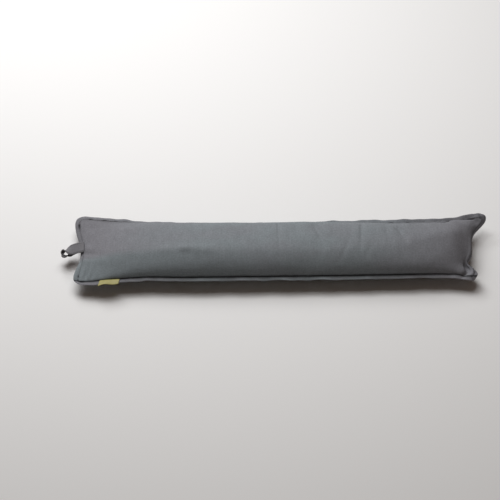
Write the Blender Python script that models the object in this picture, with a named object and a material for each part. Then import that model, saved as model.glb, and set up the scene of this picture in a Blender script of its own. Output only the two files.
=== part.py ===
"""Draught excluder: a long, soft, filled cushion that lies along the foot of a door.

Two rectangular cloth panels are sewn together with a flat flange all round and filled.
The cushion lies on its back on the floor, plump at its right end and slacker at its left.
A hanging loop is caught in the left end seam and a blank label in the front seam.
Frame: X runs along the cushion, Y from front to back, Z up. The floor is Z = 0, and the
origin is below the middle of the whole object. All sizes are in metres.
"""
import math

import bmesh
import bpy
from mathutils import Vector

# Panels as cut and sewn
FLAT_LENGTH = 0.900
FLAT_WIDTH = 0.200
FLANGE = 0.010           # from the stitch line out to the cloth's edge
CLOTH = 0.0012           # one layer of the cover, with its hem turned in
GAP = 0.0003             # between separate pieces

# The filled body
CROWN = 0.075            # full height of a free section in the middle
LEVEL = 0.0345           # height of the seam above the floor in the middle
END_DROP = {-1: 0.005, 1: 0.003}      # how much lower the seam lies at each end
END_PULL = {-1: 0.0075, 1: 0.0135}    # how far the middle of each end seam is drawn in
END_PLUMPNESS = {-1: 2.0, 1: 10.0}    # exponent: the higher, the steeper the end
BOW = 0.006              # both ends lie this much further back than the middle
DROOP_SIDES = {-1: 0.30, 1: 0.35}     # radians, front and back flange, halfway along
DROOP_ENDS = {-1: 0.55, 1: 1.45}      # radians, left and right flange, halfway across
CREST = 0.8              # exponent of the section: below 1 is blunter than a cosine

# Corners of the cover: which end and side, rounding, and how each lies
CORNER_COLUMNS = ("end", "side", "rounding", "shift_x", "shift_y", "lift")
CORNERS = (
    (-1, -1, 0.018, -0.002, 0.005, -0.004),
    (-1, 1, 0.028, 0.003, 0.000, 0.003),
    (1, -1, 0.020, -0.009, 0.0025, 0.000),
    (1, 1, 0.024, 0.002, 0.001, 0.010),
)
CORNER_REACH_ALONG = 12  # exponents: the higher, the sooner a corner's shift fades out
CORNER_REACH_ACROSS = 3

# How corners and ends are tugged: place on the flat panel, reach along and across it, shift
PULLS = (
    (-0.450, 0.100, 0.055, 0.055, -0.0065, 0.0060, 0.0),
    (-0.365, 0.100, 0.045, 0.045, 0.0, 0.0035, 0.0),
    (-0.450, 0.060, 0.035, 0.035, -0.0045, 0.0, 0.0),
    (-0.450, -0.050, 0.045, 0.045, -0.0035, 0.0, 0.0),
    (-0.300, -0.100, 0.070, 0.070, 0.0, 0.0045, 0.0),
    (0.330, 0.100, 0.110, 0.028, 0.0, -0.0130, 0.0180),
    (-0.370, 0.100, 0.060, 0.028, 0.0, -0.0070, 0.0110),
    (0.455, 0.078, 0.045, 0.030, 0.0210, -0.0020, -0.0030),
    (0.450, 0.010, 0.040, 0.040, 0.0030, 0.0, 0.0),
    (0.450, -0.044, 0.025, 0.017, -0.0170, 0.0, 0.0),
)

# Mesh of the body
CELLS_ALONG = 72
CELLS_ACROSS = 16

# Hanging loop, a folded strip of the cover's cloth
STRIP_WIDTH = 0.025
STRIP_THICK = 0.0016
LOOP_REACH = 0.048       # from the end seam to the far side of the bight
LOOP_OPENING = 0.0125    # clear height of the eye at its widest
LOOP_PINCH = 3.0         # exponent: the higher, the closer the two legs stay
LOOP_CLEAR = 0.0022      # from the curved end seam to the strip's straight ends
LOOP_PLACE = 0.010       # across the end, towards the back
LOOP_VEER = -0.20        # slope of the loop towards the front
LOOP_SPLAY = 0.0025      # each leg lies this much to its own side
LOOP_ROLL = 0.38         # radians at the bight, front edge up
LOOP_SAG = 0.004         # the bight hangs this much below the seam
LOOP_STEPS = 44
LOOP_PROBES = 157        # places looked at for the widest spread of the two legs

# Exponents of how the ends bend in, lean down and bulge along the cushion
PULL_POWER = 8
DROP_POWER = 4
DROOP_POWER = 6

# Label, folded and caught in the front seam near the left end
LABEL_LEFT = -0.391
LABEL_WIDTH = 0.043
LABEL_DEPTH = 0.015
LABEL_SKEW = 0.005       # its free edge lies this much further left
LABEL_THICK = 0.0010
LABEL_CELLS = 10

STITCH_X = FLAT_LENGTH / 2 - FLANGE
STITCH_Y = FLAT_WIDTH / 2 - FLANGE
# Quarter round of an ellipse with half axes a and h: a**p + h**p = (quarter length)**p
ELLIPSE_POWER = math.log(2) / math.log(math.pi / 2)


def clamp(value, low, high):
    return max(low, min(high, value))


def sign(value):
    return 1 if value > 0 else -1


def round_corner(s, t):
    """Move a point of the rectangular panel so that the panel's corners are round."""
    for row in CORNERS:
        corner = dict(zip(CORNER_COLUMNS, row))
        radius = corner["rounding"]
        p = s * corner["end"] - (FLAT_LENGTH / 2 - radius)
        q = t * corner["side"] - (FLAT_WIDTH / 2 - radius)
        if p <= 0 or q <= 0:
            continue
        reach = max(p, q)
        angle = math.pi / 4 * (q / p) if p >= q else math.pi / 2 - math.pi / 4 * (p / q)
        p = FLAT_LENGTH / 2 - radius + reach * math.cos(angle)
        q = FLAT_WIDTH / 2 - radius + reach * math.sin(angle)
        return p * corner["end"], q * corner["side"]
    return s, t


def fullness(u):
    """Share of the full section at u, from -1 at the left end seam to 1 at the right."""
    return math.sqrt(1 - abs(u) ** END_PLUMPNESS[sign(u)])


def corner_shift(u, v):
    """How a corner of the cover is shifted; it fades out within a hand's breadth."""
    shift = Vector((0.0, 0.0, 0.0))
    for row in CORNERS:
        corner = dict(zip(CORNER_COLUMNS, row))
        nearness = clamp(u * corner["end"], 0, 1) ** CORNER_REACH_ALONG
        nearness *= clamp(v * corner["side"], 0, 1) ** CORNER_REACH_ACROSS
        shift += nearness * Vector((corner["shift_x"], corner["shift_y"], corner["lift"]))
    return shift


def tug(s, t):
    """How the cover is shifted softly round a few places, as where a corner is drawn aside."""
    shift = Vector((0.0, 0.0, 0.0))
    for place_s, place_t, reach_s, reach_t, *move in PULLS:
        distance = math.hypot((s - place_s) / reach_s, (t - place_t) / reach_t)
        shift += math.exp(-distance ** 2) * Vector(move)
    return shift


def cover_point(s, t, face):
    """Where the point (s, t) of the flat upper (face 1) or lower (face -1) panel lies."""
    s, t = round_corner(s, t)
    u = clamp(s / STITCH_X, -1, 1)
    v = clamp(t / STITCH_Y, -1, 1)
    full = fullness(u)
    half_height = CROWN / 2 * full
    half_width = (STITCH_Y ** ELLIPSE_POWER - half_height ** ELLIPSE_POWER) ** (1 / ELLIPSE_POWER)
    end = sign(u)
    side = sign(v)
    drawn_in = END_PULL[end] * abs(u) ** PULL_POWER * (1 - v * v)
    x = u * STITCH_X - end * drawn_in
    y = half_width * ((1 - full) * v + full * math.sin(math.pi / 2 * v))
    z = LEVEL - END_DROP[end] * abs(u) ** DROP_POWER
    z += face * (CLOTH + half_height * max(0.0, math.cos(math.pi / 2 * v)) ** CREST)
    # The flange leans down from the seam
    over_x = s - u * STITCH_X
    over_y = t - v * STITCH_Y
    droop_x = DROOP_ENDS[end] * (1 - v * v)
    droop_y = DROOP_SIDES[side] * (1 - abs(u) ** DROOP_POWER)
    x += over_x * math.cos(droop_x)
    y += over_y * math.cos(droop_y)
    z -= abs(over_x) * math.sin(droop_x) + abs(over_y) * math.sin(droop_y)
    y += BOW * (2 * s / FLAT_LENGTH) ** 2
    point = Vector((x, y, z)) + corner_shift(u, v) + tug(s, t)
    point.z = max(point.z, 0.0)
    return point


def stations(stitch, edge, cells):
    """Rows of the panel mesh, closer together near the seam, then the flange."""
    inner = [stitch * math.sin(math.pi / 2 * (2 * k / cells - 1)) for k in range(cells + 1)]
    middle = (stitch + edge) / 2
    return [-edge, -middle] + inner + [middle, edge]


def add_object(name, bm, material):
    """Make a smooth shaded object from a bmesh, with outward faces."""
    bmesh.ops.recalc_face_normals(bm, faces=bm.faces)
    mesh = bpy.data.meshes.new(name)
    bm.to_mesh(mesh)
    bm.free()
    mesh.materials.append(material)
    mesh.shade_smooth()
    obj = bpy.data.objects.new(name, mesh)
    bpy.context.scene.collection.objects.link(obj)
    return obj


def make_material(name, colour, roughness):
    """Plain material of one colour, given as linear red, green and blue."""
    material = bpy.data.materials.new(name)
    material.use_nodes = True
    shader = material.node_tree.nodes["Principled BSDF"]
    shader.inputs["Base Color"].default_value = (*colour, 1.0)
    shader.inputs["Roughness"].default_value = roughness
    shader.inputs["Metallic"].default_value = 0.0
    return material


def slab(upper, lower):
    """Closed body between two equal grids of points, with walls round its edge."""
    bm = bmesh.new()
    skins = [[[bm.verts.new(point) for point in row] for row in grid] for grid in (upper, lower)]
    top, bottom = skins
    rows = len(upper)
    columns = len(upper[0])
    for i in range(rows - 1):
        for j in range(columns - 1):
            bm.faces.new((top[i][j], top[i + 1][j], top[i + 1][j + 1], top[i][j + 1]))
            bm.faces.new((bottom[i][j], bottom[i][j + 1], bottom[i + 1][j + 1], bottom[i + 1][j]))
    rim = [(i, 0) for i in range(rows)]
    rim += [(rows - 1, j) for j in range(1, columns)]
    rim += [(i, columns - 1) for i in range(rows - 2, -1, -1)]
    rim += [(0, j) for j in range(columns - 2, 0, -1)]
    for here, there in zip(rim, rim[1:] + rim[:1]):
        bm.faces.new((top[here[0]][here[1]], bottom[here[0]][here[1]],
                      bottom[there[0]][there[1]], top[there[0]][there[1]]))
    return bm


def make_cushion(material):
    """Both panels, the filling between them and the flange are one filled solid."""
    along = stations(STITCH_X, FLAT_LENGTH / 2, CELLS_ALONG)
    across = stations(STITCH_Y, FLAT_WIDTH / 2, CELLS_ACROSS)
    upper = [[cover_point(s, t, 1) for t in across] for s in along]
    lower = [[cover_point(s, t, -1) for t in across] for s in along]
    return add_object("cushion", slab(upper, lower), material)


def leg_spread(angle):
    """How far a leg is from the middle of the loop at an angle round it, unscaled."""
    return math.sin(angle) * abs(math.sin(angle / 2)) ** LOOP_PINCH


WIDEST_SPREAD = max(leg_spread(math.pi * k / LOOP_PROBES) for k in range(1, LOOP_PROBES))


def loop_point(turn):
    """Middle line of the loop's strip; turn runs from 0, lower leg, to 1, upper leg."""
    angle = 2 * math.pi * turn
    out = LOOP_REACH / 2 * (1 - math.cos(angle))
    half_open = (LOOP_OPENING + STRIP_THICK) / 2
    lift = -(STRIP_THICK + GAP) / 2 * math.cos(angle / 2)
    lift -= half_open * leg_spread(angle) / WIDEST_SPREAD
    reach = out / LOOP_REACH
    across = LOOP_VEER * out - LOOP_SPLAY * math.sin(angle) * math.sin(angle / 2)
    return out, across, lift - LOOP_SAG * reach ** 2, reach


def make_loop(material):
    """A strip swept out from the left end seam, round the bight and back."""
    root = cover_point(-STITCH_X, LOOP_PLACE, 1)
    lower_leg_clear = GAP + STRIP_THICK + GAP / 2
    seat = root + Vector((-LOOP_CLEAR, 0.0, lower_leg_clear))
    centres = []
    rolls = []
    for step in range(LOOP_STEPS + 1):
        out, across, lift, reach = loop_point(step / LOOP_STEPS)
        centres.append(seat + Vector((-out, across, lift)))
        rolls.append(LOOP_ROLL * reach ** 2)
    upper = []
    lower = []
    for step, centre in enumerate(centres):
        before = centres[max(step - 1, 0)]
        after = centres[min(step + 1, LOOP_STEPS)]
        run = (after - before).normalized()
        roll = rolls[step]
        wide = Vector((0.0, math.cos(roll), -math.sin(roll))) * STRIP_WIDTH / 2
        thick = run.cross(wide).normalized() * STRIP_THICK / 2
        upper.append([centre - wide + thick, centre + thick, centre + wide + thick])
        lower.append([centre - wide - thick, centre - thick, centre + wide - thick])
    return add_object("hanging_loop", slab(upper, lower), material)


def make_label(material):
    """A folded strip of satin that lies over the front flange."""
    upper = []
    lower = []
    for i in range(LABEL_CELLS + 1):
        row_top = []
        row_bottom = []
        for j in range(LABEL_CELLS + 1):
            out = j / LABEL_CELLS
            s = LABEL_LEFT + LABEL_WIDTH * i / LABEL_CELLS - LABEL_SKEW * out
            t = -STITCH_Y - GAP - (LABEL_DEPTH - GAP) * out
            base = cover_point(s, t, 1)
            row_bottom.append(base + Vector((0.0, 0.0, GAP)))
            row_top.append(base + Vector((0.0, 0.0, GAP + LABEL_THICK)))
        upper.append(row_top)
        lower.append(row_bottom)
    return add_object("side_label", slab(upper, lower), material)


def centre_on_origin(objects):
    """Shift all pieces so that the origin is below the middle of the whole object."""
    points = [vertex.co for obj in objects for vertex in obj.data.vertices]
    middle_x = (min(p.x for p in points) + max(p.x for p in points)) / 2
    middle_y = (min(p.y for p in points) + max(p.y for p in points)) / 2
    for obj in objects:
        obj.location = Vector((-middle_x, -middle_y, 0.0))


def main():
    for obj in list(bpy.data.objects):
        bpy.data.objects.remove(obj)
    cover = make_material("grey_cotton", (0.205, 0.208, 0.222), 0.9)
    strip = make_material("grey_strip", (0.165, 0.168, 0.182), 0.9)
    satin = make_material("gold_satin", (0.42, 0.36, 0.14), 0.45)
    centre_on_origin([make_cushion(cover), make_loop(strip), make_label(satin)])


main()
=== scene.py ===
"""Looks of a draught excluder: a long, grey, filled cushion with a stitched flange.

The cover is cut flat, filled by a short cloth simulation and laid on the floor. The hanging
loop, the blank label and every stitch are meshes of their own. Sizes are in metres, in the
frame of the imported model: X along the cushion, Y from front to back, Z up, floor at Z = 0.
"""
import math
import random

import bpy
import numpy as np
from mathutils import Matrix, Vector


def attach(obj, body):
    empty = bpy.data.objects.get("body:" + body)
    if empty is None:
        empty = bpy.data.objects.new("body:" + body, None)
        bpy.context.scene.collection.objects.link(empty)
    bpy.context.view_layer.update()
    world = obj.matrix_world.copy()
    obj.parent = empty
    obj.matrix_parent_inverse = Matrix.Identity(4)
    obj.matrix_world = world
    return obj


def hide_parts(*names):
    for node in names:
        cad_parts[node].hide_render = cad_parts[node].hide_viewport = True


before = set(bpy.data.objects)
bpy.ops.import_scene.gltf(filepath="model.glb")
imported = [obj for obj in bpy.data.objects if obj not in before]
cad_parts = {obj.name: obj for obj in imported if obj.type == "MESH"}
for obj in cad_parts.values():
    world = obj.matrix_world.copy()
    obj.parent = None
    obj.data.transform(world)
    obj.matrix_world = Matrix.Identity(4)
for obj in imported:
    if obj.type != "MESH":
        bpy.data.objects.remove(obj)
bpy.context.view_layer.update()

# Panels as cut and sewn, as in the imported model
FLAT_LENGTH = 0.900
FLAT_WIDTH = 0.200
FLANGE = 0.010
STITCH_X = FLAT_LENGTH / 2 - FLANGE
STITCH_Y = FLAT_WIDTH / 2 - FLANGE

# How the cover lies before it is filled out: left end is -1, right end 1
START_CROWN = 0.069
LEVEL = 0.0345
END_DROP = {-1: 0.005, 1: 0.003}
END_PULL = {-1: 0.0075, 1: 0.0135}
END_PLUMPNESS = {-1: 2.0, 1: 10.0}
BOW = 0.006
DROOP_SIDES = {-1: 0.30, 1: 0.35}
DROOP_ENDS = {-1: 0.55, 1: 1.45}
CREST = 0.8
# Exponents: the higher, the closer to the end or to the corner something stays
PULL_POWER = 8
DROP_POWER = 4
DROOP_POWER = 6
DROOP_FADE = {(-1, -1): 2, (-1, 1): 2, (1, -1): 2, (1, 1): 6}
CORNER_POWER_ALONG = 12
CORNER_POWER_ACROSS = 3
# How each corner of the cover lies: its end and side, its rounding and its shift
CORNER_COLUMNS = ("end", "side", "rounding", "shift_x", "shift_y", "lift")
CORNERS = (
    (-1, -1, 0.018, -0.002, 0.005, -0.004),
    (-1, 1, 0.028, 0.003, 0.000, 0.003),
    (1, -1, 0.020, -0.012, 0.0015, 0.000),
    (1, 1, 0.024, 0.002, 0.001, 0.010),
)
ELLIPSE_POWER = math.log(2) / math.log(math.pi / 2)

# Mesh of the cover
CELLS_ALONG = 220
CELLS_ACROSS = 28
CELLS_FLANGE = 3
CLOSER_AT_SEAM = 0.45    # share of the cosine spacing across the cushion
BESIDE_SEAM = 0.0012     # extra mesh lines on both sides of the stitch line

# Filling by cloth simulation, with stiffness and pressure as Blender takes them
SIM_FRAMES = 22
SIM_QUALITY = 5
CLOTH_MASS = 0.1
STRETCH_STIFFNESS = 15
SHEAR_STIFFNESS = 5
BEND_STIFFNESS = 0.5
FLANGE_STIFFNESS = 5     # against bending, where two layers are sewn together
AIR_DAMPING = 3
PRESSURE = 0.5
EASE = 0.012             # the filled part's cloth is longer than its seam by this share
EASE_REACH = 0.035
VOLUME_GAIN = 1.04

# The right end is stuffed tight and keeps its blunt start shape
TIGHT_SHARE = 0.6
TIGHT_FROM = 0.84
TIGHT_OVER = 0.12
TIGHT_HALF = 0.50
TIGHT_EDGE = 0.40

# How corners and ends are tugged: place on the flat panel, reach along and across it, and shift
PULLS = (
    (-0.450, 0.100, 0.055, 0.055, -0.0065, 0.0060, 0.0),
    (-0.365, 0.100, 0.045, 0.045, 0.0, 0.0035, 0.0),
    (-0.450, 0.060, 0.035, 0.035, -0.0045, 0.0, 0.0),
    (-0.450, -0.050, 0.045, 0.045, -0.0035, 0.0, 0.0),
    (-0.450, -0.100, 0.020, 0.020, 0.0040, 0.0020, 0.0),
    (-0.300, -0.100, 0.070, 0.070, 0.0, 0.0045, 0.0),
    (0.330, 0.100, 0.110, 0.028, 0.0, -0.0130, 0.0130),
    (-0.370, 0.100, 0.060, 0.028, 0.0, -0.0070, 0.0110),
    (0.455, 0.078, 0.045, 0.030, 0.0225, -0.0020, -0.0045),
    (0.425, 0.100, 0.020, 0.020, 0.0, -0.0020, 0.0),
    (0.450, 0.010, 0.040, 0.040, 0.0030, 0.0, 0.0),
    (0.450, -0.044, 0.025, 0.017, -0.0170, 0.0, 0.0),
    (0.450, -0.100, 0.030, 0.030, -0.0040, 0.0060, 0.0),
    (0.425, -0.100, 0.020, 0.020, 0.0, -0.0030, 0.0),
)

# Where the filling stays away: the left end is a wedge and both right corners lie flat.
# Corners: side, reach of the thin part along and across the cushion, how thin, and over which
# share of the reach it eases out
WEDGE = 0.085
WEDGE_POWER = 0.45
EARS = (
    (-1, 0.040, 0.052, 0.96, 0.40),
    (1, 0.044, 0.044, 0.80, 0.40),
    (-1, 0.180, 0.115, 0.75, 1.00),
)
# Stretches of the back seam, middle and half length, along which the filling is thin
THIN_BACK = ((0.33, 0.12), (-0.38, 0.08))
THIN_REACH = 0.05
THIN_POWER = 0.6
LEVEL_TOP = 4            # even exponent of a bump: the higher, the more level its top

# Skin of the cover: half its thickness at distances beyond the stitch line, and its edge
RIM_AT = (-0.0012, 0.0, 0.0012, 0.0033, 0.0067, 0.0100)
RIM_HALF = (0.0009, 0.0008, 0.0009, 0.0010, 0.0010, 0.0008)
NOSE = 0.0009
FLOOR_SOFTNESS = 0.002

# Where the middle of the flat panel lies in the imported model's frame
LAID_AT = (0.0083, -0.0061, LEVEL)

# Gathers seen along the stitch line: side, place along it, length and strength of their puff and their
# painted shade
GATHERS = (
    ("back", -0.4155, 0.008, 1.0),
    ("back", -0.386, 0.013, 1.0),
    ("back", -0.362, 0.010, 0.9),
    ("back", -0.341, 0.011, 0.8),
    ("back", 0.218, 0.008, 1.0),
    ("back", 0.253, 0.011, 1.2),
    ("back", 0.290, 0.007, 0.9),
    ("back", 0.324, 0.010, 0.9),
    ("back", 0.350, 0.008, 1.0),
    ("back", 0.363, 0.008, 1.0),
    ("back", 0.377, 0.009, 1.0),
    ("back", 0.395, 0.009, 1.0),
    ("back", 0.407, 0.007, 0.9),
    ("left", 0.070, 0.010, 1.2),
    ("left", -0.072, 0.009, 1.0),
    ("left", -0.086, 0.008, 1.2),
    ("front", -0.430, 0.016, 1.2),
    ("front", -0.349, 0.008, 1.3),
)
GATHER_PITCH = (0.014, 0.028)
GATHER_LENGTH = (0.006, 0.012)
GATHER_STRENGTH = (0.15, 0.50)
GATHER_SEED = 11
PUFF = 0.0009            # how far the cloth puffs out above a gather
PUFF_REACH = 0.005
# Painted shade along the stitch line: how far it reaches on each side, and how dark it is along each
# whole seam, darkest in front
SHADE_REACH = {"back": 0.0024, "front": 0.0030, "left": 0.0024, "right": 0.0020}
SEAM_SHADE = {"back": 0.14, "front": 1.0, "left": 0.10, "right": 0.40}

# Waves of the flange's free edge
RIPPLES = 5
RIPPLE_LENGTH = (0.030, 0.110)
RIPPLE_UP = 0.0009
RIPPLE_OUT = 0.0006
RIPPLE_SEED = 5

# Creases and soft folds of the upper panel: from and to on the flat panel, half width, height
FOLDS = (
    (0.000, 0.036, 0.000, -0.026, 0.0036, -0.0024),
    (0.038, 0.034, 0.038, -0.004, 0.0045, -0.0015),
    (0.083, 0.032, 0.104, -0.028, 0.0062, -0.0052),
    (0.074, 0.032, 0.086, 0.010, 0.0070, -0.0026),
    (0.108, 0.030, 0.116, -0.016, 0.0090, 0.0020),
    (0.185, 0.036, 0.178, -0.030, 0.0038, -0.0024),
    (0.179, -0.012, 0.178, -0.042, 0.0060, -0.0010),
    (0.149, -0.014, 0.130, -0.054, 0.0055, -0.0013),
    (0.198, -0.024, 0.184, -0.046, 0.0060, -0.0012),
    (0.238, 0.018, 0.250, -0.028, 0.0065, -0.0022),
    (0.250, 0.038, 0.274, 0.008, 0.0055, -0.0046),
    (0.267, 0.022, 0.280, -0.016, 0.0065, -0.0042),
    (0.252, 0.014, 0.262, -0.016, 0.0080, 0.0020),
    (0.288, 0.026, 0.298, -0.006, 0.0080, 0.0018),
    (-0.204, -0.0275, -0.222, -0.0275, 0.0045, -0.0012),
    (-0.200, -0.0180, -0.130, -0.0220, 0.0075, 0.0026),
    (-0.215, -0.0190, -0.310, -0.0180, 0.0060, 0.0014),
    (-0.438, -0.007, -0.380, -0.0210, 0.0042, -0.0026),
    (-0.432, -0.020, -0.400, -0.0270, 0.0036, -0.0024),
    (-0.425, 0.004, -0.400, -0.002, 0.0080, 0.0020),
    (-0.430, -0.026, -0.330, -0.040, 0.0110, 0.0018),
    (-0.436, -0.066, -0.432, -0.030, 0.0028, -0.0022),
    (-0.429, -0.066, -0.426, -0.030, 0.0028, 0.0020),
    (-0.422, -0.066, -0.419, -0.030, 0.0028, -0.0022),
    (-0.415, -0.068, -0.412, -0.032, 0.0030, 0.0018),
    (-0.408, -0.066, -0.405, -0.034, 0.0030, -0.0016),
    (-0.399, -0.064, -0.397, -0.030, 0.0050, 0.0014),
    (0.422, -0.048, 0.428, 0.040, 0.0240, -0.0070),
    (0.370, 0.062, 0.060, 0.062, 0.0220, -0.0084),
)
FOLD_FADE = 0.7          # exponent: the lower, the longer a fold stays deep towards its end
FOLD_END = 0.014         # before its start it runs out over this distance
FOLD_SEAM = 0.010        # and towards the seam over this one
# Folds of both panels together: the back flange tilts up, and the right corners are pinched
EAR_FOLDS = (
    (0.430, 0.104, 0.050, 0.104, 0.0080, 0.0080),
    (0.412, 0.100, 0.440, 0.100, 0.0070, 0.0030),
    (0.396, 0.084, 0.430, 0.086, 0.0040, 0.0022),
    (0.433, 0.098, 0.440, 0.076, 0.0050, -0.0035),
    (0.432, 0.084, 0.420, 0.052, 0.0050, 0.0020),
    (0.443, -0.060, 0.424, -0.104, 0.0050, 0.0034),
    (0.427, -0.054, 0.402, -0.104, 0.0060, -0.0095),
)
# The upper panel bends along a soft shoulder in front: place along it, across it, height
SHOULDER_REACH = 0.056
SHOULDER_WAY = (
    (-0.44, -0.016, 0.0050), (-0.36, -0.020, 0.0052), (-0.28, -0.022, 0.0068), (-0.20, -0.021, 0.0074),
    (-0.14, -0.021, 0.0060), (-0.08, -0.021, 0.0046), (0.10, -0.024, 0.0042), (0.25, -0.018, 0.0048),
    (0.36, 0.004, 0.0090), (0.44, 0.022, 0.0130),
)
SHOULDER_SOFT = 0.0025   # its crest is rounded over this distance
SHOULDER_ENDS = {-1: 0.10, 1: 0.06}   # it rises over this distance from each end
# Lumps of the filling
LUMPS = 70
LUMP_REACH = (0.022, 0.050)
LUMP_HEIGHT = 0.0012
UPPER_LUMPS_SEED = 3
LOWER_LUMPS_SEED = 4

# Hanging loop: way of the strip's middle line from the lower leg's root round the bight to
# the upper leg's root, as distance out, shift to the back, lift and roll of the front edge
STRIP_WIDTH = 0.025
STRIP_HALF = 0.0010
LOOP_PLACE = 0.010
LOOP_SEAT = 0.0030
LOOP_PATH = (
    (0.0000, 0.0000, 0.0000, 0),
    (0.0100, 0.0000, -0.0010, -5),
    (0.0200, -0.0020, -0.0045, -4),
    (0.0290, -0.0070, -0.0095, 12),
    (0.0360, -0.0120, -0.0120, 45),
    (0.0430, -0.0165, -0.0090, 64),
    (0.0490, -0.0150, -0.0045, 74),
    (0.0445, -0.0115, 0.0015, 70),
    (0.0395, -0.0100, 0.0020, 46),
    (0.0340, -0.0092, 0.0018, 16),
    (0.0270, -0.0065, 0.0012, -8),
    (0.0140, -0.0025, 0.0018, -14),
    (0.0000, 0.0010, 0.0022, -8),
)
LOOP_STEPS = 8
STRIP_COLUMNS = 9

# Label, folded and caught in the front seam near the left end
LABEL_LEFT = -0.391
LABEL_WIDTH = 0.043
LABEL_DEPTH = 0.0165
LABEL_SKEW = 0.004
LABEL_HALF = 0.0002
LABEL_COLUMNS = 12
# Way of the folded satin: distance out from the seam as a share of the depth, and lift
LABEL_PATH = (
    (0.00, 0.0022), (0.20, 0.0023), (0.45, 0.0023), (0.70, 0.0021), (0.90, 0.0017),
    (0.98, 0.0016), (1.01, 0.0020), (0.98, 0.0024), (0.90, 0.0026), (0.70, 0.0029),
    (0.45, 0.0031), (0.20, 0.0030), (0.00, 0.0028),
)

# Stitches
STITCH_PITCH = 0.0042
STITCH_LENGTH = 0.0031
THREAD = 0.0003          # radius
STITCH_SIDES = 6
STRIP_STITCH_IN = 0.0025
# Rings of a stitch: place along it, share of the thread's radius, and lift in radii
STITCH_RINGS = (
    (0.0, 0.5, -0.4),
    (0.2, 1.0, 0.4),
    (0.5, 1.0, 0.7),
    (0.8, 1.0, 0.4),
    (1.0, 0.5, -0.4),
)

# Cover: its three greys, linear, where they are, and how its light and dark change
COVER_ROUGHNESS = 0.92
COVER_VIOLET = (0.200, 0.200, 0.219)
COVER_BLUE = (0.200, 0.224, 0.239)
COVER_TEAL = (0.195, 0.221, 0.236)
BLUE_ALONG = (0.16, 0.40)
TEAL_ACROSS = (-0.030, -0.016)
TEAL_INSIDE = (-0.092, -0.086)
TEAL_ALONG = (-0.22, 0.05)
BLUE_PATCHES = (0.36, 0.58, 0.60, 1.0)   # noise from and to, share of blue from and to
MOTTLE = (0.88, 1.12)
PATCHES = (0.95, 1.05)
STREAKS = (0.97, 1.03)
# Share of the base colour left under the fullest painted shade
DARKEST = 0.06
RIB_SCALE = 120
RIB_HEIGHT = 0.00008
RIB_DISTORTION = 1.5
RIB_DETAIL = 2.0
RIB_STRENGTH = 0.6
# Noises of the cover: scale for each axis, and detail
BLUE_NOISE = ((9, 22, 1), 2)
MOTTLE_NOISE = ((260, 340, 1), 3)
STREAK_NOISE = ((330, 28, 1), 2)
PATCH_NOISE = ((70, 55, 1), 2)
NOISE_RANGE = (0.3, 0.7)   # nearly all of a noise is in this range

# Strip and satin: colour, roughness, threads for each axis, their height and their contrast
STRIP_CLOTH = ((0.190, 0.188, 0.202), 0.9, (300, 700, 300), 0.0002, 0.10)
SATIN_CLOTH = ((0.35, 0.32, 0.125), 0.45, (180, 1500, 180), 0.0001, 0.12)
WOVEN_DETAIL = 2
WOVEN_STRENGTH = 0.5
THREAD_GREY = (0.06, 0.06, 0.065)
THREAD_ROUGHNESS = 0.8
CLOTH_SPECULAR = 0.2

# The camera of the photograph, whose frame is 500 pixels wide
PHOTO_WIDTH = 500
METRES_PER_PIXEL = 0.00221
BODY_MIDDLE_PIXEL = (278.5, 250.4)
CAMERA_AZIMUTH = math.radians(-0.86)
CAMERA_ELEVATION = math.radians(50)
CAMERA_DISTANCE = 4.0
SENSOR = 36.0

# Floor, half its side, and studio light: soft lamps aimed at the cushion, with azimuth and
# elevation in degrees and power in watts
FLOOR_HALF = 6
FLOOR_COLOUR = (0.85, 0.85, 0.85)
FLOOR_ROUGHNESS = 0.9
WORLD = 0.08
WORLD_COLOUR = (1.0, 0.77, 0.61)
LAMP_SIZE = 1.4
LAMP_DISTANCE = 2.5
LAMPS = (
    ("key", 122, 48, 42),
    ("above", 88, 68, 24),
)


def clamp(value, low, high):
    return max(low, min(high, value))


def sign(value):
    return 1 if value > 0 else -1


def smooth_step(value):
    value = np.clip(value, 0.0, 1.0)
    return value * value * (3 - 2 * value)


def unit(vectors):
    return vectors / np.linalg.norm(vectors, axis=-1, keepdims=True)


def round_corner(s, t):
    """Move a point of the rectangular panel so that the panel's corners are round."""
    for row in CORNERS:
        corner = dict(zip(CORNER_COLUMNS, row))
        radius = corner["rounding"]
        p = s * corner["end"] - (FLAT_LENGTH / 2 - radius)
        q = t * corner["side"] - (FLAT_WIDTH / 2 - radius)
        if p <= 0 or q <= 0:
            continue
        reach = max(p, q)
        angle = math.pi / 4 * (q / p) if p >= q else math.pi / 2 - math.pi / 4 * (p / q)
        p = FLAT_LENGTH / 2 - radius + reach * math.cos(angle)
        q = FLAT_WIDTH / 2 - radius + reach * math.sin(angle)
        return p * corner["end"], q * corner["side"]
    return s, t


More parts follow.
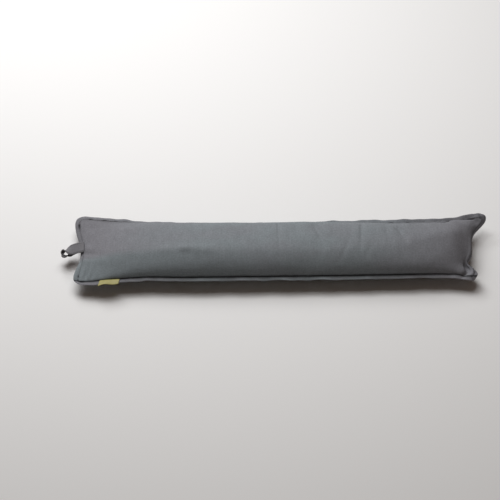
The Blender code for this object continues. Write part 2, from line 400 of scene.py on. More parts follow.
def lying_point(s, t, face):
    """Where the flat panel's point (s, t) lies before filling; the seam is at height 0."""
    u = clamp(s / STITCH_X, -1, 1)
    v = clamp(t / STITCH_Y, -1, 1)
    end = sign(u)
    side = sign(v)
    full = math.sqrt(max(0.0, 1 - abs(u) ** END_PLUMPNESS[end]))
    half_height = START_CROWN / 2 * full
    half_width = (STITCH_Y ** ELLIPSE_POWER - half_height ** ELLIPSE_POWER) ** (1 / ELLIPSE_POWER)
    x = u * STITCH_X - end * END_PULL[end] * abs(u) ** PULL_POWER * (1 - v * v)
    y = half_width * ((1 - full) * v + full * math.sin(math.pi / 2 * v))
    z = face * half_height * max(0.0, math.cos(math.pi / 2 * v)) ** CREST
    z -= END_DROP[end] * abs(u) ** DROP_POWER
    over_x = s - u * STITCH_X
    over_y = t - v * STITCH_Y
    droop_x = DROOP_ENDS[end] * (1 - abs(v) ** DROOP_FADE[end, side])
    droop_y = DROOP_SIDES[side] * (1 - abs(u) ** DROOP_POWER)
    x += over_x * math.cos(droop_x)
    y += over_y * math.cos(droop_y)
    z -= abs(over_x) * math.sin(droop_x) + abs(over_y) * math.sin(droop_y)
    for row in CORNERS:
        corner = dict(zip(CORNER_COLUMNS, row))
        nearness = clamp(u * corner["end"], 0, 1) ** CORNER_POWER_ALONG
        nearness *= clamp(v * corner["side"], 0, 1) ** CORNER_POWER_ACROSS
        x += nearness * corner["shift_x"]
        y += nearness * corner["shift_y"]
        z += nearness * corner["lift"]
    return x, y, z


def panel_lines(stitch, cells, closer):
    """Lines of the panel mesh from edge to edge, with the flange's own at both ends."""
    even = [2 * k / cells - 1 for k in range(cells + 1)]
    body = [stitch * ((1 - closer) * w + closer * math.sin(math.pi / 2 * w)) for w in even]
    rim = [stitch + FLANGE * k / CELLS_FLANGE for k in range(1, CELLS_FLANGE + 1)]
    return [-r for r in reversed(rim)] + body + rim


ALONG = panel_lines(STITCH_X, CELLS_ALONG, 0.0)
ACROSS = panel_lines(STITCH_Y, CELLS_ACROSS, CLOSER_AT_SEAM)
SEAM_ALONG = (CELLS_FLANGE, len(ALONG) - 1 - CELLS_FLANGE)
SEAM_ACROSS = (CELLS_FLANGE, len(ACROSS) - 1 - CELLS_FLANGE)


def is_body(i, j):
    """True for a mesh point inside the stitch line, where the two panels part."""
    return SEAM_ALONG[0] < i < SEAM_ALONG[1] and SEAM_ACROSS[0] < j < SEAM_ACROSS[1]


def pattern_point(s, t):
    """The panel point as cut: the cloth inside the seam has some length to spare."""
    spare_s = clamp((STITCH_Y - abs(t)) / EASE_REACH, 0, 1)
    spare_t = clamp((STITCH_X - abs(s)) / EASE_REACH, 0, 1)
    return (s * (1 + EASE * (1 - (1 - spare_s) ** 2)),
            t * (1 + EASE * (1 - (1 - spare_t) ** 2)), 0.0)


def fill_cover():
    """Fill the cover by a cloth simulation; give the upper and the lower panel's points."""
    rows = len(ALONG)
    columns = len(ACROSS)
    number = {}
    start = []
    flat = []
    places = []
    for face in (-1, 1):
        for i in range(rows):
            for j in range(columns):
                key = (i, j, face) if is_body(i, j) else (i, j, 0)
                if key in number:
                    continue
                s, t = round_corner(ALONG[i], ACROSS[j])
                number[key] = len(start)
                start.append(lying_point(s, t, key[2]))
                flat.append(pattern_point(s, t))
                places.append((s, t))

    def point_of(i, j, face):
        return number[(i, j, face) if is_body(i, j) else (i, j, 0)]

    faces = []
    filled = set()
    for i in range(rows - 1):
        for j in range(columns - 1):
            around = ((i, j), (i + 1, j), (i + 1, j + 1), (i, j + 1))
            upper = [point_of(*place, 1) for place in around]
            faces.append(upper)
            along_inside = SEAM_ALONG[0] <= i < SEAM_ALONG[1]
            if along_inside and SEAM_ACROSS[0] <= j < SEAM_ACROSS[1]:
                lower = [point_of(*place, -1) for place in around]
                faces.append(lower[::-1])
                filled.update(upper)
                filled.update(lower)
    start = np.array(start)
    places = np.array(places)
    points = start
    points = simulate_filling(start, flat, faces, filled)
    points = tug(keep_tight_end(points, start, places), places)
    panels = []
    for face in (1, -1):
        panels.append(np.array([[points[point_of(i, j, face)] for j in range(columns)]
                                for i in range(rows)]))
    return panels


def enclosed_volume(points, faces, filled):
    """Volume between the two panels, from the quads that bound the filling."""
    total = 0.0
    for face in faces:
        if not filled.issuperset(face):
            continue
        a, b, c, d = (points[k] for k in face)
        total += np.dot(a, np.cross(b, c)) + np.dot(a, np.cross(c, d))
    return total / 6


def simulate_filling(start, flat, faces, filled):
    """Let the filling push the cover out from its start shape; give the final points."""
    mesh = bpy.data.meshes.new("cover_cloth")
    mesh.from_pydata(start.tolist(), [], faces)
    cloth = bpy.data.objects.new("cover_cloth", mesh)
    bpy.context.scene.collection.objects.link(cloth)
    cloth.shape_key_add(name="lying")
    pattern = cloth.shape_key_add(name="flat")
    for k, place in enumerate(flat):
        pattern.data[k].co = place
    pressed = cloth.vertex_groups.new(name="pressed")
    pressed.add(sorted(filled), 1.0, "REPLACE")
    doubled = cloth.vertex_groups.new(name="doubled")
    doubled.add(sorted(set(range(len(start))) - filled), 1.0, "REPLACE")
    modifier = cloth.modifiers.new("Cloth", "CLOTH")
    modifier.collision_settings.use_collision = False
    settings = modifier.settings
    settings.quality = SIM_QUALITY
    settings.mass = CLOTH_MASS
    settings.tension_stiffness = STRETCH_STIFFNESS
    settings.compression_stiffness = STRETCH_STIFFNESS
    settings.shear_stiffness = SHEAR_STIFFNESS
    settings.bending_stiffness = BEND_STIFFNESS
    settings.vertex_group_bending = "doubled"
    settings.bending_stiffness_max = FLANGE_STIFFNESS
    settings.air_damping = AIR_DAMPING
    settings.rest_shape_key = pattern
    settings.effector_weights.gravity = 0
    settings.use_pressure = True
    settings.uniform_pressure_force = PRESSURE
    settings.vertex_group_pressure = "pressed"
    settings.use_pressure_volume = True
    settings.target_volume = enclosed_volume(start, faces, filled) * VOLUME_GAIN
    settings.pressure_factor = 1
    scene = bpy.context.scene
    scene.frame_start = 1
    scene.frame_end = SIM_FRAMES
    modifier.point_cache.frame_start = 1
    modifier.point_cache.frame_end = SIM_FRAMES
    for step in range(1, SIM_FRAMES + 1):
        scene.frame_set(step)
    settled = cloth.evaluated_get(bpy.context.evaluated_depsgraph_get())
    points = np.empty(len(start) * 3, dtype=np.float32)
    settled.data.vertices.foreach_get("co", points)
    bpy.data.objects.remove(cloth)
    scene.frame_set(1)
    return points.reshape(-1, 3).astype(float)


def keep_tight_end(points, start, places):
    """Let the tightly stuffed right end keep most of its blunt start shape."""
    u = np.clip(places[:, 0] / STITCH_X, -1, 1)
    v = np.abs(np.clip(places[:, 1] / STITCH_Y, -1, 1))
    share = TIGHT_SHARE * smooth_step((u - TIGHT_FROM) / TIGHT_OVER)
    share = (share * (1 - smooth_step((v - TIGHT_HALF) / TIGHT_EDGE)))[:, None]
    return points * (1 - share) + start * share


def tug(points, places):
    """Shift the cover softly round a few places, as where a corner is drawn aside."""
    points = points.copy()
    for s, t, reach_s, reach_t, *shift in PULLS:
        distance = np.hypot((places[:, 0] - s) / reach_s, (places[:, 1] - t) / reach_t)
        points += np.exp(-distance ** 2)[:, None] * np.array(shift)
    return points


def resample(grid, old, new, axis):
    """The grid at new line positions, straight between the old lines."""
    old = np.array(old)
    new = np.array(new)
    after = np.clip(np.searchsorted(old, new), 1, len(old) - 1)
    share = (new - old[after - 1]) / (old[after] - old[after - 1])
    share = share.reshape([-1 if k == axis else 1 for k in range(grid.ndim)])
    return np.take(grid, after - 1, axis) * (1 - share) + np.take(grid, after, axis) * share


def with_seam_lines(lines, stitch):
    """The mesh lines with two more beside each stitch line."""
    extra = [end * (stitch + shift) for end in (-1, 1) for shift in (-BESIDE_SEAM, BESIDE_SEAM)]
    return sorted(lines + extra)


FINE_ALONG = with_seam_lines(ALONG, STITCH_X)
FINE_ACROSS = with_seam_lines(ACROSS, STITCH_Y)


def settle_filling(panels):
    """Thin out the cushion where the filling stays away from the seam."""
    upper, lower = panels
    s, t = np.meshgrid(ALONG, ACROSS, indexing="ij")
    share = np.clip((s + STITCH_X) / WEDGE, 0, 1) ** WEDGE_POWER
    thinned = np.clip((STITCH_Y - t) / THIN_REACH, 0, 1) ** THIN_POWER
    for place, length in THIN_BACK:
        share *= 1 - (1 - thinned) * np.exp(-((s - place) / length) ** LEVEL_TOP)
    for side, along, across, flat, ease in EARS:
        place = np.abs(STITCH_X - s) / along + np.abs(STITCH_Y - t * side) / across
        share *= 1 - flat * smooth_step((1 - place) / ease)
    middle = (upper[..., 2] + lower[..., 2]) / 2
    half = (upper[..., 2] - lower[..., 2]) / 2 * share
    upper[..., 2] = middle + half
    lower[..., 2] = middle - half


def lay_down(panels):
    """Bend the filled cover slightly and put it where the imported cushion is."""
    for grid in panels:
        grid[..., 1] += BOW * (2 * grid[..., 0] / FLAT_LENGTH) ** 2
        grid += np.array(LAID_AT)


def soft_floor(height):
    """Height of a point pressed against the floor: it eases in to exactly 0."""
    eased = (height + FLOOR_SOFTNESS) ** 2 / (4 * FLOOR_SOFTNESS)
    near = np.where(height <= -FLOOR_SOFTNESS, 0.0, eased)
    return np.where(height >= FLOOR_SOFTNESS, height, near)


def sheet_normals(grid):
    """Unit normals of a grid of points, upwards on a level sheet."""
    return unit(np.cross(np.gradient(grid, axis=0), np.gradient(grid, axis=1)))


def rim_places(rows, columns):
    """Row and column of each point on the outer edge of a grid, going round once."""
    rim = [(i, 0) for i in range(rows)]
    rim += [(rows - 1, j) for j in range(1, columns)]
    rim += [(i, columns - 1) for i in range(rows - 2, -1, -1)]
    rim += [(0, j) for j in range(columns - 2, 0, -1)]
    return rim


def new_object(name, points, faces, material):
    mesh = bpy.data.meshes.new(name)
    mesh.from_pydata([tuple(p) for p in points], [], faces)
    mesh.materials.append(material)
    mesh.shade_smooth()
    obj = bpy.data.objects.new(name, mesh)
    bpy.context.scene.collection.objects.link(obj)
    return obj


def subdivide(obj, levels):
    """Smooth the object's mesh by subdivision; its own points keep their numbers."""
    modifier = obj.modifiers.new("Subdivision", "SUBSURF")
    modifier.levels = levels
    modifier.render_levels = levels
    settled = obj.evaluated_get(bpy.context.evaluated_depsgraph_get())
    mesh = bpy.data.meshes.new_from_object(settled)
    obj.modifiers.clear()
    obj.data = mesh


def set_attribute(obj, name, kind, values):
    """Store one value, or one vector, per point of the object's mesh."""
    attribute = obj.data.attributes.new(name, kind, "POINT")
    field = "vector" if kind == "FLOAT_VECTOR" else "value"
    attribute.data.foreach_set(field, np.ascontiguousarray(values, dtype=np.float32).ravel())


def mesh_points(obj):
    """Points and point normals of the object's mesh."""
    count = len(obj.data.vertices)
    points = np.empty(count * 3, dtype=np.float32)
    normals = np.empty(count * 3, dtype=np.float32)
    obj.data.vertices.foreach_get("co", points)
    obj.data.vertices.foreach_get("normal", normals)
    return points.reshape(-1, 3).astype(float), normals.reshape(-1, 3).astype(float)


def closed_skin(top, bottom, nose):
    """Points and faces of a closed skin: two equal grids and a line round their edges."""
    rows, columns = top.shape[:2]
    points = np.concatenate([top.reshape(-1, 3), bottom.reshape(-1, 3), nose])
    rim = rim_places(rows, columns)
    below = rows * columns
    faces = []
    for i in range(rows - 1):
        for j in range(columns - 1):
            a = i * columns + j
            b = a + columns
            faces.append((a, b, b + 1, a + 1))
            faces.append((below + a, below + a + 1, below + b + 1, below + b))
    for k, (i, j) in enumerate(rim):
        here = i * columns + j
        after = (k + 1) % len(rim)
        there = rim[after][0] * columns + rim[after][1]
        faces.append((here, 2 * below + k, 2 * below + after, there))
        faces.append((below + here, below + there, 2 * below + after, 2 * below + k))
    return points, faces


def nose_line(sheet, reach):
    """Line round a sheet, a little outside its edge."""
    rows, columns = sheet.shape[:2]
    line = []
    for i, j in rim_places(rows, columns):
        inner = sheet[int(clamp(i, 1, rows - 2)), int(clamp(j, 1, columns - 2))]
        line.append(sheet[i, j] + unit(sheet[i, j] - inner) * reach)
    return np.array(line)


def all_gathers():
    """The gathers that the photograph shows and fainter ones all round."""
    draw = random.Random(GATHER_SEED)
    found = list(GATHERS)
    for side, half in (("back", STITCH_X), ("front", STITCH_X), ("left", STITCH_Y), ("right", STITCH_Y)):
        place = -half + draw.uniform(*GATHER_PITCH)
        while place < half:
            found.append((side, place, draw.uniform(*GATHER_LENGTH), draw.uniform(*GATHER_STRENGTH)))
            place += draw.uniform(*GATHER_PITCH)
    return found


def seam_sides(s, t):
    """For each side: distance of the panel's points inside its seam, and place along it."""
    return {
        "back": (STITCH_Y - t, s),
        "front": (STITCH_Y + t, s),
        "left": (STITCH_X + s, t),
        "right": (STITCH_X - s, t),
    }


def seam_relief(s, t):
    """Puffs beside the stitch line, and the painted shade along it and at its gathers."""
    puff = np.zeros_like(s)
    shade = np.zeros_like(s)
    sides = seam_sides(s, t)
    for side, (distance, _) in sides.items():
        shade = np.maximum(shade, SEAM_SHADE[side] * np.exp(-(distance / SHADE_REACH[side]) ** 2))
    for side, place, length, strength in all_gathers():
        distance, along = sides[side]
        near = strength * np.exp(-(2 * (along - place) / length) ** LEVEL_TOP)
        inside = np.clip(distance / PUFF_REACH, 0, None)
        puff += PUFF * near * inside * np.exp(1 - inside)
        shade = np.maximum(shade, near * np.exp(-(distance / SHADE_REACH[side]) ** 2))
    return puff, np.clip(shade, 0, 1)


def wave(draw, along):
    """A gentle irregular wave along a seam, between about -1 and 1."""
    total = np.zeros_like(along)
    for _ in range(RIPPLES):
        length = draw.uniform(*RIPPLE_LENGTH)
        total += np.sin(2 * math.pi * along / length + draw.uniform(0, 2 * math.pi))
    return total / RIPPLES * 2


def ripple_edge(sheet, s, t):
    """Wave the free edge of the flange up and down, and out and in."""
    draw = random.Random(RIPPLE_SEED)
    outwards = {"back": (0, 1), "front": (0, -1), "left": (-1, 0), "right": (1, 0)}
    for side, (distance, along) in seam_sides(s, t).items():
        free = np.clip(-distance / FLANGE, 0, 1) ** 2
        up = RIPPLE_UP * free * wave(draw, along)
        out = RIPPLE_OUT * free * wave(draw, along)
        sheet[..., 0] += out * outwards[side][0]
        sheet[..., 1] += out * outwards[side][1]
        sheet[..., 2] += up


def body_relief(s, t, seed):
    """Soft lumps of the filling, fading out towards the seam."""
    draw = random.Random(seed)
    relief = np.zeros_like(s)
    for _ in range(LUMPS):
        place = (draw.uniform(-STITCH_X, STITCH_X), draw.uniform(-STITCH_Y, STITCH_Y))
        reach = draw.uniform(*LUMP_REACH)
        distance = np.hypot(s - place[0], t - place[1])
        relief += draw.uniform(-1, 1) * LUMP_HEIGHT * np.exp(-(distance / reach) ** 2)
    inside = np.minimum(STITCH_X - np.abs(s), STITCH_Y - np.abs(t))
    return relief * smooth_step(inside / EASE_REACH)


def folds(table, s, t):
    """Narrow valleys, and ridges where the height is positive, along short lines."""
    relief = np.zeros_like(s)
    for from_s, from_t, to_s, to_t, half, height in table:
        run = np.array((to_s - from_s, to_t - from_t))
        length = np.hypot(*run)
        run /= length
        along = (s - from_s) * run[0] + (t - from_t) * run[1]
        across = (t - from_t) * run[0] - (s - from_s) * run[1]
        before = np.maximum(-along, 0)
        fading = np.clip(1 - along / length, 0, 1) ** FOLD_FADE
        relief += height * fading * np.exp(-(across / half) ** 2 - (before / FOLD_END) ** 2)
    return relief


def shoulder(s, t):
    """A low rounded ridge along the front half of the upper panel."""
    places, ways, heights = zip(*SHOULDER_WAY)
    off = t - np.interp(s, places, ways)
    off = np.sqrt(off ** 2 + SHOULDER_SOFT ** 2) - SHOULDER_SOFT
    reach = np.where(s < 0, SHOULDER_ENDS[-1], SHOULDER_ENDS[1])
    height = np.interp(s, places, heights) * smooth_step((STITCH_X - np.abs(s)) / reach)
    return height * np.clip(1 - off / SHOULDER_REACH, 0, 1) ** 2


def crease(cushion):
    """Press the folds into the upper panel's fine mesh."""
    points, normals = mesh_points(cushion)
    cloth = np.empty(points.size, dtype=np.float32)
    cushion.data.attributes["cloth"].data.foreach_get("vector", cloth)
    s, t, face = cloth.reshape(-1, 3).T.astype(float)
    inside = np.minimum(STITCH_X - np.abs(s), STITCH_Y - np.abs(t))
    depth = folds(FOLDS, s, t) * smooth_step(inside / FOLD_SEAM) * (face > 0.5)
    points += normals * depth[:, None]
    cushion.data.vertices.foreach_set("co", points.astype(np.float32).ravel())
    cushion.data.update()


def make_cushion(material):
    """The filled cover; gives it and the middle points of its upper panel."""
    panels = fill_cover()
    settle_filling(panels)
    lay_down(panels)
    upper, lower = (resample(resample(grid, ALONG, FINE_ALONG, 0), ACROSS, FINE_ACROSS, 1)
                    for grid in panels)
    s, t = np.meshgrid(FINE_ALONG, FINE_ACROSS, indexing="ij")
    for sheet in (upper, lower):
        ripple_edge(sheet, s, t)
        sheet[..., 2] += folds(EAR_FOLDS, s, t)
    puff, shade = seam_relief(s, t)
    upper_lumps = body_relief(s, t, UPPER_LUMPS_SEED)
    lower_lumps = body_relief(s, t, LOWER_LUMPS_SEED)
    upper += sheet_normals(upper) * (puff + upper_lumps + shoulder(s, t))[..., None]
    lower -= sheet_normals(lower) * (puff + lower_lumps)[..., None]
    beyond = np.maximum(np.abs(s) - STITCH_X, np.abs(t) - STITCH_Y)
    half = np.interp(beyond, RIM_AT, RIM_HALF)[..., None]
    nose = nose_line(upper, NOSE)
    points, faces = closed_skin(upper + sheet_normals(upper) * half,
                                lower - sheet_normals(lower) * half, nose)
    points[:, 2] = soft_floor(points[:, 2])
    cushion = new_object("cushion_cover", points, faces, material)
    rim = rim_places(*s.shape)
    flat = np.stack([s, t, np.ones_like(s)], axis=2).reshape(-1, 3)
    under = flat * (1, 1, -1)
    edge = np.array([(s[place], t[place], 0) for place in rim])
    set_attribute(cushion, "cloth", "FLOAT_VECTOR", np.concatenate([flat, under, edge]))
    # Painted shade of the seam and its gathers, which darkens the cover's colour
    shades = np.concatenate([shade.ravel(), shade.ravel(), np.zeros(len(rim))])
    set_attribute(cushion, "shade", "FLOAT", shades)
    subdivide(cushion, 1)
    crease(cushion)
    return cushion, upper


def seam_ring():
    """Numbers of the cover's upper points along the stitch line, going round once."""
    columns = len(FINE_ACROSS)
    first_i, last_i = (FINE_ALONG.index(ALONG[k]) for k in SEAM_ALONG)
    first_j, last_j = (FINE_ACROSS.index(ACROSS[k]) for k in SEAM_ACROSS)
    ring = [(i, first_j) for i in range(first_i, last_i)]
    ring += [(last_i, j) for j in range(first_j, last_j)]
    ring += [(i, last_j) for i in range(last_i, first_i, -1)]
    ring += [(first_i, j) for j in range(last_j, first_j - 1, -1)]
    return [i * columns + j for i, j in ring]


def sew(points, faces, path, normals):
    """Add a row of stitches that follows the path on a surface."""
    steps = np.linalg.norm(np.diff(path, axis=0), axis=1)
    reach = np.concatenate([[0.0], np.cumsum(steps)])
    count = int(reach[-1] / STITCH_PITCH)
    pitch = reach[-1] / count
    for k in range(count):
        begin = k * pitch + (pitch - STITCH_LENGTH) / 2
        places = [begin + share * STITCH_LENGTH for share, _, _ in STITCH_RINGS]
        centres = np.stack([np.interp(places, reach, path[:, axis]) for axis in range(3)], axis=1)
        ups = unit(np.stack([np.interp(places, reach, normals[:, axis]) for axis in range(3)], axis=1))
        forward = unit(centres[-1] - centres[0])
        first = len(points)
        for centre, up, (_, thick, lift) in zip(centres, ups, STITCH_RINGS):
            across = unit(np.cross(up, forward))
            middle = centre + up * THREAD * lift
            for side in range(STITCH_SIDES):
                angle = 2 * math.pi * side / STITCH_SIDES
                points.append(middle + THREAD * thick * (across * math.cos(angle) + up * math.sin(angle)))
        for ring in range(len(STITCH_RINGS) - 1):
            for side in range(STITCH_SIDES):
                a = first + ring * STITCH_SIDES + side
                b = first + ring * STITCH_SIDES + (side + 1) % STITCH_SIDES
                faces.append((a, b, b + STITCH_SIDES, a + STITCH_SIDES))
        last = first + (len(STITCH_RINGS) - 1) * STITCH_SIDES
        faces.append(tuple(first + side for side in reversed(range(STITCH_SIDES))))
        faces.append(tuple(last + side for side in range(STITCH_SIDES)))


def sew_cover(cushion, material):
    """Stitches along the seam on both faces of the cover."""
    skin, normals = mesh_points(cushion)
    ring = seam_ring()
    below = len(FINE_ALONG) * len(FINE_ACROSS)
    points = []
    faces = []
    for shift in (0, below):
        chosen = [number + shift for number in ring]
        sew(points, faces, skin[chosen], normals[chosen])
    return new_object("cover_stitches", points, faces, material)


def spline(rows, steps):
    """Points on a smooth line through the rows, so many steps from row to row."""
    rows = np.array(rows, dtype=float)
    padded = np.concatenate([[2 * rows[0] - rows[1]], rows, [2 * rows[-1] - rows[-2]]])
    line = []
    for k in range(len(rows) - 1):
        a, b, c, d = padded[k:k + 4]
        for step in range(steps):
            w = step / steps
            line.append(0.5 * (2 * b + (c - a) * w + (2 * a - 5 * b + 4 * c - d) * w ** 2
                               + (3 * b - a - 3 * c + d) * w ** 3))
    line.append(rows[-1])
    return np.array(line)


def ribbon(name, sheet, half, material):
    """A thin strip of cloth with rounded edges round a grid of middle points."""
    normals = sheet_normals(sheet)
    points, faces = closed_skin(sheet + normals * half, sheet - normals * half, nose_line(sheet, half))
    return new_object(name, points, faces, material)


def make_loop(upper, material):
    """The hanging loop, a folded strip caught in the left end seam; gives it and its sheet."""
    seat = resample(resample(upper, FINE_ALONG, [-STITCH_X], 0), FINE_ACROSS, [LOOP_PLACE], 1)[0, 0]
    seat = seat + (0, 0, LOOP_SEAT)
    sheet = []
    for out, across, lift, roll in spline(LOOP_PATH, LOOP_STEPS):
        roll = math.radians(roll)
        wide = np.array((0, math.cos(roll), -math.sin(roll))) * STRIP_WIDTH / 2
        centre = seat + (-out, across, lift)
        sheet.append([centre + wide * share for share in np.linspace(-1, 1, STRIP_COLUMNS)])
    sheet = np.array(sheet)
    loop = ribbon("loop_strip", sheet, STRIP_HALF, material)
    subdivide(loop, 1)
    return loop, sheet


def sew_loop(sheet, material):
    """Two rows of stitches on each face of the loop's strip."""
    points = []
    faces = []
    normals = sheet_normals(sheet)
    inset = STRIP_STITCH_IN / STRIP_WIDTH
    places = np.linspace(0, 1, STRIP_COLUMNS)
    for share in (inset, 1 - inset):
        line = resample(sheet, places, [share], 1)[:, 0]
        ups = unit(resample(normals, places, [share], 1)[:, 0])
        for face in (1, -1):
            sew(points, faces, line + ups * face * STRIP_HALF, ups * face)
    return new_object("loop_stitches", points, faces, material)


def make_label(upper, material):
    """A strip of satin, folded and caught in the front seam, lying over the flange."""
    places = [LABEL_LEFT + LABEL_WIDTH * k / LABEL_COLUMNS for k in range(LABEL_COLUMNS + 1)]
    reaches = [-STITCH_Y - LABEL_DEPTH * share for share, _ in LABEL_PATH]
    normals = resample(sheet_normals(upper), FINE_ALONG, places, 0)
    strip = resample(upper, FINE_ALONG, places, 0)
    sheet = []
    for reach, (share, lift) in zip(reaches, LABEL_PATH):
        base = resample(strip, FINE_ACROSS, [reach], 1)[:, 0]
        up = unit(resample(normals, FINE_ACROSS, [max(reach, -FLAT_WIDTH / 2)], 1)[:, 0])
        row = base + up * lift
        row[:, 0] -= LABEL_SKEW * share
        sheet.append(row)
    label = ribbon("label_satin", np.array(sheet), LABEL_HALF, material)
    subdivide(label, 1)
    return label


def new_material(name, colour, roughness):
    """A material and its shader, still plain."""
    material = bpy.data.materials.new(name)
    material.use_nodes = True
    shader = material.node_tree.nodes["Principled BSDF"]
    shader.inputs["Base Color"].default_value = (*colour, 1)
    shader.inputs["Roughness"].default_value = roughness
    shader.inputs["Specular IOR Level"].default_value = CLOTH_SPECULAR
    return material, shader


def add_node(material, kind, links=(), **values):
    """Add a node, set its properties and link sockets given as (input, node, output)."""
    node = material.node_tree.nodes.new(kind)
    for key, value in values.items():
        setattr(node, key, value)
    for socket, source, output in links:
        if hasattr(source, "outputs"):
            material.node_tree.links.new(source.outputs[output], node.inputs[socket])
        else:
            node.inputs[socket].default_value = source
    return node


def noise(material, source, output, scale, detail):
    """Noise over a node's vector output, which is stretched by the scale first."""
    place = add_node(material, "ShaderNodeVectorMath",
                     [(0, source, output), (1, scale, None)], operation="MULTIPLY")
    return add_node(material, "ShaderNodeTexNoise",
                    [("Vector", place, 0), ("Scale", 1.0, None), ("Detail", detail, None)])


def ramp(material, source, output, low, high, start, end):
    """Map a node's value from low..high to start..end, clamped."""
    return add_node(material, "ShaderNodeMapRange",
                    [("Value", source, output), ("From Min", low, None), ("From Max", high, None),
                     ("To Min", start, None), ("To Max", end, None)])


def times(material, a, b):
    return add_node(material, "ShaderNodeMath", [(0, a, 0), (1, b, 0)], operation="MULTIPLY")


def mixed(material, share, a, b):
    """Colour from a to b by a node's share; each is a colour or an earlier mix."""
    links = [(0, share, 0)]
    for socket, colour in ((6, a), (7, b)):
        links.append((socket, colour if hasattr(colour, "outputs") else (*colour, 1), 2))
    return add_node(material, "ShaderNodeMix", links, data_type="RGBA")


def weave(material, shader, colour, light, height, strength, distance):
    """Colour the shader by the colour times a node's light, and raise threads by a height."""
    bright = add_node(material, "ShaderNodeVectorMath",
                      [(0, *colour), ("Scale", light, 0)], operation="SCALE")
    bump = add_node(material, "ShaderNodeBump",
                    [("Height", height, 0), ("Strength", strength, None), ("Distance", distance, None)])
    material.node_tree.links.new(bright.outputs[0], shader.inputs["Base Color"])
    material.node_tree.links.new(bump.outputs[0], shader.inputs["Normal"])


def cover_material():
    """Grey cotton with crosswise ribs; violet grey in places, blue green grey in others; painted shade
    along the seam and at its gathers.
    """
    material, shader = new_material("cover", COVER_VIOLET, COVER_ROUGHNESS)
    cloth = add_node(material, "ShaderNodeAttribute", attribute_name="cloth")
    shade = add_node(material, "ShaderNodeAttribute", attribute_name="shade")
    place = add_node(material, "ShaderNodeSeparateXYZ", [(0, cloth, "Vector")])
    middle = add_node(material, "ShaderNodeMath", [(0, place, 0)], operation="ABSOLUTE")
    blue = times(material, ramp(material, middle, 0, *BLUE_ALONG, 1.0, 0.0),
                 ramp(material, noise(material, cloth, "Vector", *BLUE_NOISE), 0, *BLUE_PATCHES))
    base = mixed(material, blue, COVER_VIOLET, COVER_BLUE)
    teal = times(material, ramp(material, place, 1, *TEAL_ACROSS, 1.0, 0.0),
                 ramp(material, place, 0, *TEAL_ALONG, 1.0, 0.0))
    teal = times(material, teal, ramp(material, place, 1, *TEAL_INSIDE, 0.0, 1.0))
    base = mixed(material, teal, base, COVER_TEAL)
    mottle = noise(material, cloth, "Vector", *MOTTLE_NOISE)
    streaks = noise(material, cloth, "Vector", *STREAK_NOISE)
    patches = noise(material, cloth, "Vector", *PATCH_NOISE)
    light = times(material, ramp(material, mottle, 0, *NOISE_RANGE, *MOTTLE),
                  ramp(material, streaks, 0, *NOISE_RANGE, *STREAKS))
    light = times(material, light, ramp(material, patches, 0, *NOISE_RANGE, *PATCHES))
    # Painted shade: the seam's crease and its gathers darken the base colour down to DARKEST
    light = times(material, light, ramp(material, shade, "Fac", 0.0, 1.0, 1.0, DARKEST))
    ribs = add_node(material, "ShaderNodeTexWave",
                    [("Vector", cloth, "Vector"), ("Scale", RIB_SCALE, None),
                     ("Distortion", RIB_DISTORTION, None), ("Detail", RIB_DETAIL, None),
                     ("Detail Scale", RIB_DETAIL, None)])
    height = add_node(material, "ShaderNodeMath", [(0, ribs, 1), (1, streaks, 0)], operation="ADD")
    weave(material, shader, (base, 2), light, height, RIB_STRENGTH, RIB_HEIGHT)
    return material


def woven_material(name, colour, roughness, scale, height, contrast):
    """Cloth of fine threads, for the strip and the satin."""
    material, shader = new_material(name, colour, roughness)
    where = add_node(material, "ShaderNodeTexCoord")
    threads = noise(material, where, "Object", scale, WOVEN_DETAIL)
    light = ramp(material, threads, 0, *NOISE_RANGE, 1 - contrast, 1 + contrast)
    weave(material, shader, (colour, None), light, threads, WOVEN_STRENGTH, height)
    return material


def plain_material(name, colour, roughness):
    return new_material(name, colour, roughness)[0]


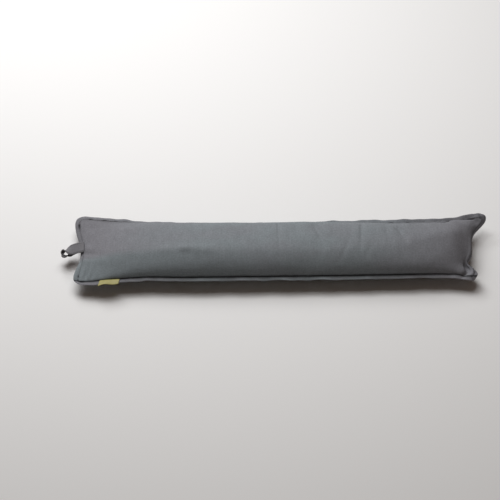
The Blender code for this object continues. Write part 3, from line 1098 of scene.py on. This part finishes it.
def add_camera():
    """Camera above and in front, at the photograph's angle and scale."""
    data = bpy.data.cameras.new("camera")
    camera = bpy.data.objects.new("camera", data)
    bpy.context.scene.collection.objects.link(camera)
    bpy.context.scene.camera = camera
    back = Vector((math.sin(CAMERA_AZIMUTH) * math.cos(CAMERA_ELEVATION),
                   -math.cos(CAMERA_AZIMUTH) * math.cos(CAMERA_ELEVATION),
                   math.sin(CAMERA_ELEVATION)))
    turn = (-back).to_track_quat("-Z", "Y")
    offset = Vector((PHOTO_WIDTH / 2 - BODY_MIDDLE_PIXEL[0], BODY_MIDDLE_PIXEL[1] - PHOTO_WIDTH / 2, 0))
    aim = Vector(LAID_AT) + turn @ (offset * METRES_PER_PIXEL)
    camera.location = aim + back * CAMERA_DISTANCE
    camera.rotation_euler = turn.to_euler()
    data.sensor_width = SENSOR
    data.lens = SENSOR * CAMERA_DISTANCE / (PHOTO_WIDTH * METRES_PER_PIXEL)


def add_stage():
    """Pale floor, dim warm surroundings and the lamps."""
    floor_mesh = bpy.data.meshes.new("floor")
    corners = [(x * FLOOR_HALF, y * FLOOR_HALF, 0) for x, y in ((-1, -1), (1, -1), (1, 1), (-1, 1))]
    floor_mesh.from_pydata(corners, [], [(0, 1, 2, 3)])
    floor = bpy.data.objects.new("floor", floor_mesh)
    bpy.context.scene.collection.objects.link(floor)
    floor_mesh.materials.append(plain_material("pale_floor", FLOOR_COLOUR, FLOOR_ROUGHNESS))
    world = bpy.data.worlds.new("studio")
    world.use_nodes = True
    world.node_tree.nodes["Background"].inputs["Color"].default_value = (*WORLD_COLOUR, 1)
    world.node_tree.nodes["Background"].inputs["Strength"].default_value = WORLD
    bpy.context.scene.world = world
    for name, azimuth, elevation, power in LAMPS:
        light = bpy.data.lights.new(name, "AREA")
        light.energy = power
        light.size = LAMP_SIZE
        lamp = bpy.data.objects.new(name, light)
        bpy.context.scene.collection.objects.link(lamp)
        a = math.radians(azimuth)
        e = math.radians(elevation)
        level = math.cos(e)
        lamp.location = Vector((math.cos(a) * level, math.sin(a) * level, math.sin(e))) * LAMP_DISTANCE
        lamp.rotation_euler = (-lamp.location).to_track_quat("-Z", "Y").to_euler()


bpy.context.scene.view_settings.view_transform = "Standard"
add_camera()
add_stage()
cover = cover_material()
strip = woven_material("loop_strip", *STRIP_CLOTH)
satin = woven_material("label_satin", *SATIN_CLOTH)
thread = plain_material("thread", THREAD_GREY, THREAD_ROUGHNESS)
cushion, upper_panel = make_cushion(cover)
cover_stitches = sew_cover(cushion, thread)
loop, loop_sheet = make_loop(upper_panel, strip)
loop_stitches = sew_loop(loop_sheet, thread)
label = make_label(upper_panel, satin)
for piece in (cushion, cover_stitches, loop, loop_stitches, label):
    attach(piece, "root")
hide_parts("cushion")
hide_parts("hanging_loop")
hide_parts("side_label")
